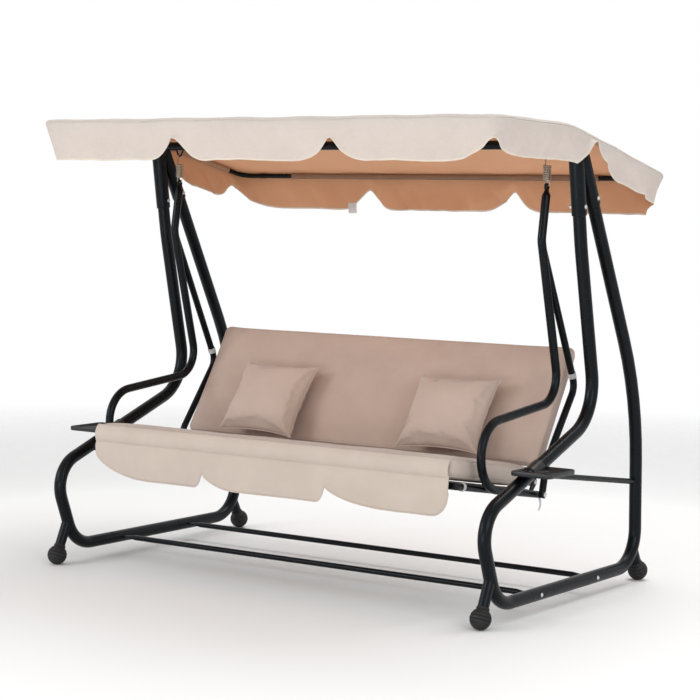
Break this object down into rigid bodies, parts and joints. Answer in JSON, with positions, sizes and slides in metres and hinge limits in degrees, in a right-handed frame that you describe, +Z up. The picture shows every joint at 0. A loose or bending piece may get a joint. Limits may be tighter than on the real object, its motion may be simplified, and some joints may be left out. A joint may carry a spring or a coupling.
{
  "type": "canopy swing bench",
  "caption": "Garden swing bench hung on springs from a tubular steel stand, with a tilting fabric canopy, side trays and a reclining backrest.",
  "frame": {"origin": "on the ground under the middle of the bench", "axes": "+Z up; +X along the bench to the sitter's left, which is the right of someone facing the bench from the front; the front faces -Y"},
  "size_m": [2.1, 1.2, 1.6398],
  "materials": {
    "frame_paint": "satin black powder coat",
    "foot_rubber": "matte moulded rubber",
    "fasteners": "zinc plated",
    "spring_steel": "zinc plated wire",
    "black_plastic": "fine grained moulding",
    "canopy_fabric": "water repellent woven polyester, beige",
    "seat_fabric": "woven polyester over padding, beige",
    "pillow_fabric": "woven polyester over loose filling, beige",
    "sling_fabric": "plain woven backing cloth, tan"
  },
  "bodies": {
    "stand": {"left_front_leg": "frame_paint", "left_rear_leg": "frame_paint", "left_base_rail": "frame_paint", "left_top_bracket": "frame_paint", "left_front_foot": "foot_rubber", "left_rear_foot": "foot_rubber", "left_front_leg_bolt": "fasteners", "left_rear_leg_bolt": "fasteners", "left_tray_arm": "frame_paint", "left_tray": "black_plastic", "right_front_leg": "frame_paint", "right_rear_leg": "frame_paint", "right_base_rail": "frame_paint", "right_top_bracket": "frame_paint", "right_front_foot": "foot_rubber", "right_rear_foot": "foot_rubber", "right_front_leg_bolt": "fasteners", "right_rear_leg_bolt": "fasteners", "right_tray_arm": "frame_paint", "right_tray": "black_plastic", "front_crossbar": "frame_paint", "rear_crossbar": "frame_paint", "top_beam": "frame_paint", "left_hanger_eye": "frame_paint", "right_hanger_eye": "frame_paint"},
    "suspension": {"left_spring": "spring_steel", "right_spring": "spring_steel"},
    "seat": {"left_hanger_arm": "frame_paint", "left_rear_hanger": "frame_paint", "left_recline_pin": "fasteners", "left_recline_lug": "frame_paint", "right_hanger_arm": "frame_paint", "right_rear_hanger": "frame_paint", "right_recline_pin": "fasteners", "right_recline_lug": "frame_paint", "seat_front_rail": "frame_paint", "seat_rear_rail": "frame_paint", "seat_left_rail": "frame_paint", "seat_right_rail": "frame_paint", "seat_support": "frame_paint", "seat_sling": "sling_fabric", "seat_cushion": "seat_fabric", "seat_skirt": "seat_fabric"},
    "backrest": {"backrest_left_tube": "frame_paint", "backrest_right_tube": "frame_paint", "backrest_top_bar": "frame_paint", "backrest_lower_bar": "frame_paint", "backrest_sling": "sling_fabric", "backrest_cushion": "seat_fabric", "left_pillow": "pillow_fabric", "right_pillow": "pillow_fabric"},
    "canopy": {"canopy_front_bar": "frame_paint", "canopy_rear_bar": "frame_paint", "canopy_cover": "canopy_fabric", "canopy_left_tube": "frame_paint", "canopy_left_plate": "frame_paint", "canopy_right_tube": "frame_paint", "canopy_right_plate": "frame_paint"},
    "left_knob": {"left_tilt_knob": "black_plastic"},
    "right_knob": {"right_tilt_knob": "black_plastic"}
  },
  "joints": [
    {"name": "swing", "type": "hinge", "parent": "stand", "child": "suspension", "pos_m": [0, 0.005, 1.519], "axis": [1, 0, 0], "range_deg": [-18, 18]},
    {"name": "bounce", "type": "slide", "parent": "suspension", "child": "seat", "axis": [0, 0, -1], "range_m": [0, 0.025], "stiffness_N_per_m": 94000, "springref_m": -0.0021, "deforming": ["left_spring", "right_spring"]},
    {"name": "recline", "type": "hinge", "parent": "seat", "child": "backrest", "pos_m": [0, 0.061, 0.393], "axis": [-1, 0, 0], "range_deg": [0, 61]},
    {"name": "canopy_tilt", "type": "hinge", "parent": "stand", "child": "canopy", "pos_m": [0, 0.005, 1.558], "axis": [1, 0, 0], "range_deg": [-12, 20]},
    {"name": "left_knob_turn", "type": "hinge", "parent": "canopy", "child": "left_knob", "pos_m": [-0.95, 0.005, 1.558], "axis": [1, 0, 0], "continuous": true},
    {"name": "right_knob_turn", "type": "hinge", "parent": "canopy", "child": "right_knob", "pos_m": [0.95, 0.005, 1.558], "axis": [1, 0, 0], "continuous": true}
  ]
}
